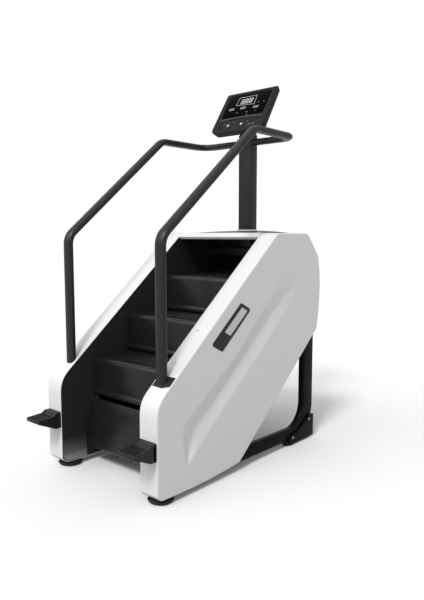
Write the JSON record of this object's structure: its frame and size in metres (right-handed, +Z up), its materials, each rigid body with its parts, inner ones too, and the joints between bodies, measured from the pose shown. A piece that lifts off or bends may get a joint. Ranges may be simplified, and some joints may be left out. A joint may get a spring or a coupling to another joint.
{
  "type": "stair climber",
  "caption": "Revolving stair climber with silver side housings, dark moving steps between gloss skirts, bent handrails, a mast with a leaning console, ribbed pedals and rear support legs.",
  "frame": {"origin": "on the floor, under the centre of the machine's bounding box", "axes": "+Z is up, +Y runs from the user's end to the back, and +X is the machine's right-hand side seen by a user on the steps"},
  "size_m": [0.8356, 1.496, 2.1001],
  "materials": {
    "silver_shell": "satin silver paint over moulded plastic",
    "gloss_black": "high-gloss black",
    "dark_frame": "dark powder coat",
    "black_plastic": "satin black moulded plastic",
    "chrome": "polished",
    "badge_mirror": "mirror foil",
    "rubber": "black rubber",
    "steel": "machined",
    "circuit_board": "solder-masked board",
    "light_button": "satin light grey"
  },
  "bodies": {
    "frame": {"badge_frame_left": "gloss_black", "badge_frame_right": "gloss_black", "badge_insert_left": "badge_mirror", "badge_insert_right": "badge_mirror", "brake_magnet": "dark_frame", "chain_left": "steel", "chain_right": "steel", "console_bracket": "dark_frame", "console_housing": "black_plastic", "control_board": "circuit_board", "corner_bracket_left": "dark_frame", "corner_bracket_right": "dark_frame", "display_panel": "gloss_black", "drive_belt": "rubber", "handrail_left": "dark_frame", "handrail_right": "dark_frame", "inner_skirt_left": "gloss_black", "inner_skirt_right": "gloss_black", "lower_bearing_left": "steel", "lower_bearing_right": "steel", "lower_cross_tube": "dark_frame", "mast": "dark_frame", "mast_collar": "chrome", "mast_cross_tube": "dark_frame", "pedal_left": "rubber", "pedal_right": "rubber", "post_boot_left": "black_plastic", "post_boot_right": "black_plastic", "power_inlet": "black_plastic", "rear_cover": "silver_shell", "rear_leg_left": "dark_frame", "rear_leg_right": "dark_frame", "rear_pad_left": "rubber", "rear_pad_right": "rubber", "side_cover_left": "silver_shell", "side_cover_right": "silver_shell", "side_plate_left": "dark_frame", "side_plate_right": "dark_frame", "top_cover": "silver_shell", "under_cover": "black_plastic", "upper_bearing_left": "steel", "upper_bearing_right": "steel", "upper_cross_tube": "dark_frame"},
    "staircase": {"step_2": "black_plastic", "step_3": "black_plastic", "step_4": "black_plastic"},
    "return_run": {"step_6": "black_plastic", "step_7": "black_plastic", "step_8": "black_plastic"},
    "lower_turn": {"step_1": "black_plastic", "lower_shaft": "steel"},
    "upper_turn": {"step_5": "black_plastic", "upper_shaft": "steel"},
    "flywheel": {"flywheel": "steel"},
    "wheel_left": {"transport_wheel_left": "rubber"},
    "wheel_right": {"transport_wheel_right": "rubber"},
    "foot_left": {"front_foot_left": "rubber"},
    "foot_right": {"front_foot_right": "rubber"},
    "start_button": {"start_button": "light_button"},
    "stop_button": {"stop_button": "light_button"}
  },
  "joints": [
    {"name": "staircase_travel", "type": "slide", "parent": "frame", "child": "staircase", "axis": [0, -0.7687, -0.6396], "range_m": [-0.038, 0.04]},
    {"name": "return_travel", "type": "slide", "parent": "frame", "child": "return_run", "axis": [0, 0.7687, 0.6396], "range_m": [-0.038, 0.04]},
    {"name": "lower_shaft_turn", "type": "hinge", "parent": "frame", "child": "lower_turn", "pos_m": [0, -0.28304, 0.265], "axis": [1, 0, 0], "range_deg": [-16.8, 17.7]},
    {"name": "upper_shaft_turn", "type": "hinge", "parent": "frame", "child": "upper_turn", "pos_m": [0, 0.403, 0.83579], "axis": [1, 0, 0], "range_deg": [-16.8, 17.7]},
    {"name": "flywheel_turn", "type": "hinge", "parent": "frame", "child": "flywheel", "pos_m": [0, 0.08696, 0.5], "axis": [1, 0, 0], "range_deg": [-76, 80]},
    {"name": "wheel_spin_left", "type": "hinge", "parent": "frame", "child": "wheel_left", "pos_m": [-0.3865, 0.65895, 0.036], "axis": [1, 0, 0], "continuous": true},
    {"name": "wheel_spin_right", "type": "hinge", "parent": "frame", "child": "wheel_right", "pos_m": [0.3865, 0.65895, 0.036], "axis": [1, 0, 0], "continuous": true},
    {"name": "foot_level_left", "type": "hinge", "parent": "frame", "child": "foot_left", "pos_m": [-0.35, -0.53104, 0.02], "axis": [0, 0, 1], "continuous": true},
    {"name": "foot_level_right", "type": "hinge", "parent": "frame", "child": "foot_right", "pos_m": [0.35, -0.53104, 0.02], "axis": [0, 0, 1], "continuous": true},
    {"name": "start_press", "type": "slide", "parent": "frame", "child": "start_button", "axis": [0, 0.832, -0.5548], "range_m": [0, 0.0015], "stiffness_N_per_m": 400, "springref_m": -0.001},
    {"name": "stop_press", "type": "slide", "parent": "frame", "child": "stop_button", "axis": [0, 0.832, -0.5548], "range_m": [0, 0.0015], "stiffness_N_per_m": 400, "springref_m": -0.001}
  ],
  "couplings": [
    {"joint": "return_travel", "follows": "staircase_travel", "ratio": 1},
    {"joint": "lower_shaft_turn", "follows": "staircase_travel", "rad_per_m": 7.6923},
    {"joint": "upper_shaft_turn", "follows": "staircase_travel", "rad_per_m": 7.6923},
    {"joint": "flywheel_turn", "follows": "staircase_travel", "rad_per_m": 34.615}
  ]
}
